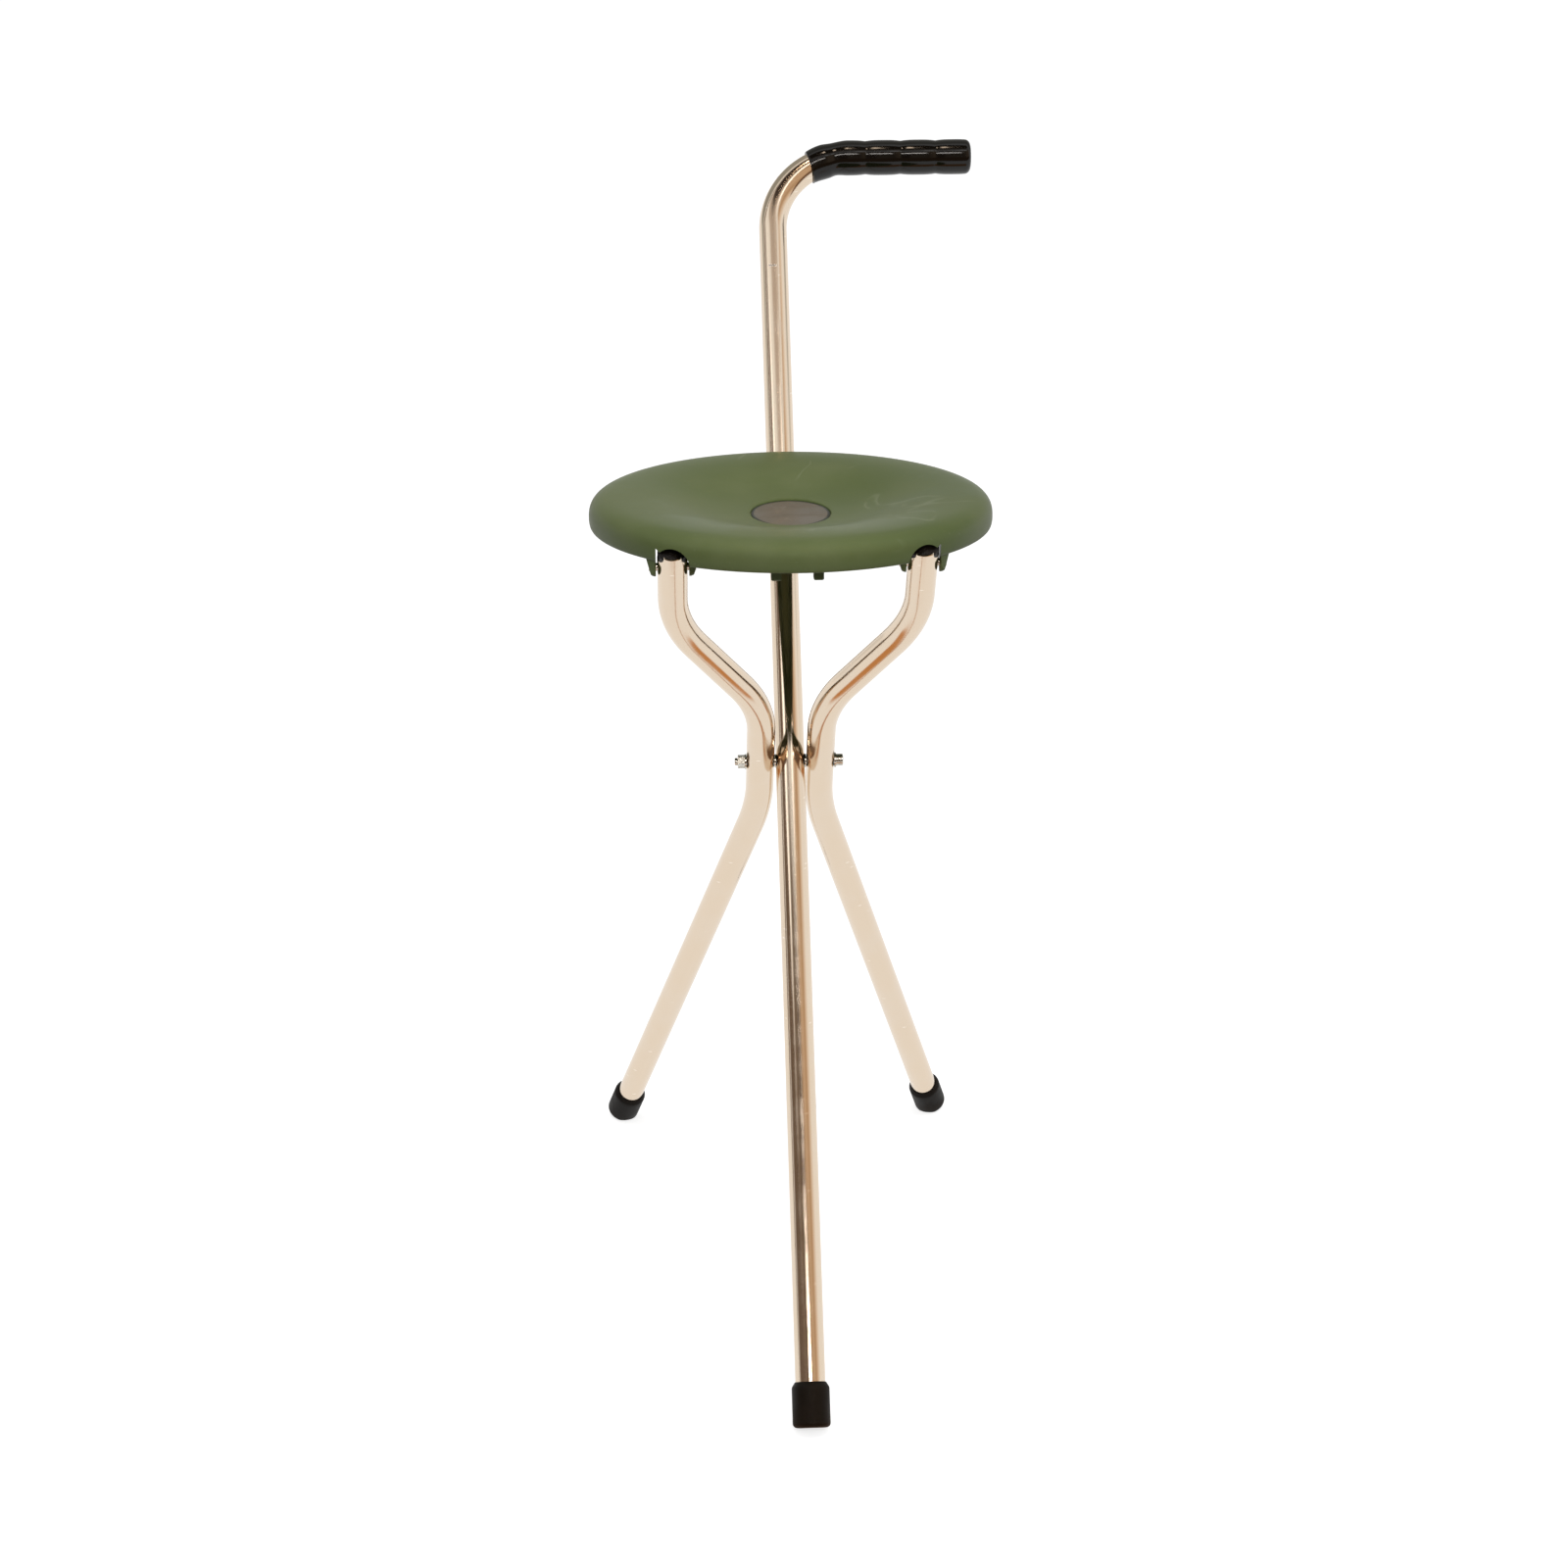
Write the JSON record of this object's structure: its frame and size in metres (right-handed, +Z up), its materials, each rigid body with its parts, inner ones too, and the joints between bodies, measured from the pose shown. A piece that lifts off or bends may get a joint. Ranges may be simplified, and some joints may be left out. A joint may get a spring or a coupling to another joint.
{
  "type": "walking stick seat",
  "caption": "Walking stick that unfolds into a tripod stool: a bent tube with a moulded grip, crossed side legs and a round moulded seat that folds up against the stick.",
  "frame": {"origin": "on the floor, under the middle of the open stool's bounding box", "axes": "+Z up, +X to the right along the handle and the pivot bolt, +Y to the back, where the handle and the side feet are"},
  "size_m": [0.2674, 0.4884, 0.7354],
  "materials": {
    "tube_metal": "bright champagne anodised",
    "grip": "glossy moulded",
    "ferrule": "matt moulded rubber",
    "seat_plastic": "satin moulded, scuffed",
    "badge_plate": "satin",
    "plug_plastic": "moulded",
    "bush": "moulded",
    "zinc_steel": "zinc plated"
  },
  "bodies": {
    "main_stick": {"stick_tube": "tube_metal", "handle_grip": "grip", "stick_bush": "bush", "seat_stop_pin": "zinc_steel", "front_ferrule": "ferrule", "front_ferrule_washer": "zinc_steel", "pivot_bolt": "zinc_steel", "pivot_nut": "zinc_steel", "right_spacer": "zinc_steel", "left_spacer": "zinc_steel", "right_washer": "zinc_steel", "left_washer": "zinc_steel"},
    "side_legs": {"left_leg_tube": "tube_metal", "left_leg_bush": "bush", "left_hinge_plug": "plug_plastic", "left_ferrule": "ferrule", "left_ferrule_washer": "zinc_steel", "right_leg_tube": "tube_metal", "right_leg_bush": "bush", "right_hinge_plug": "plug_plastic", "right_ferrule": "ferrule", "right_ferrule_washer": "zinc_steel"},
    "seat": {"seat_shell": "seat_plastic", "seat_badge": "badge_plate", "left_hinge_pin": "zinc_steel", "right_hinge_pin": "zinc_steel"}
  },
  "joints": [
    {"name": "leg_fold", "type": "hinge", "parent": "main_stick", "child": "side_legs", "pos_m": [-0.0046, -0.00155, 0.3634], "axis": [-1, 0, 0], "range_deg": [0, 64.7]},
    {"name": "seat_fold", "type": "hinge", "parent": "side_legs", "child": "seat", "pos_m": [0.0714, -0.10623, 0.52459], "axis": [1, 0, 0], "range_deg": [0, 121.8]}
  ],
  "couplings": [
    {"joint": "seat_fold", "follows": "leg_fold", "ratio": 1.881}
  ]
}
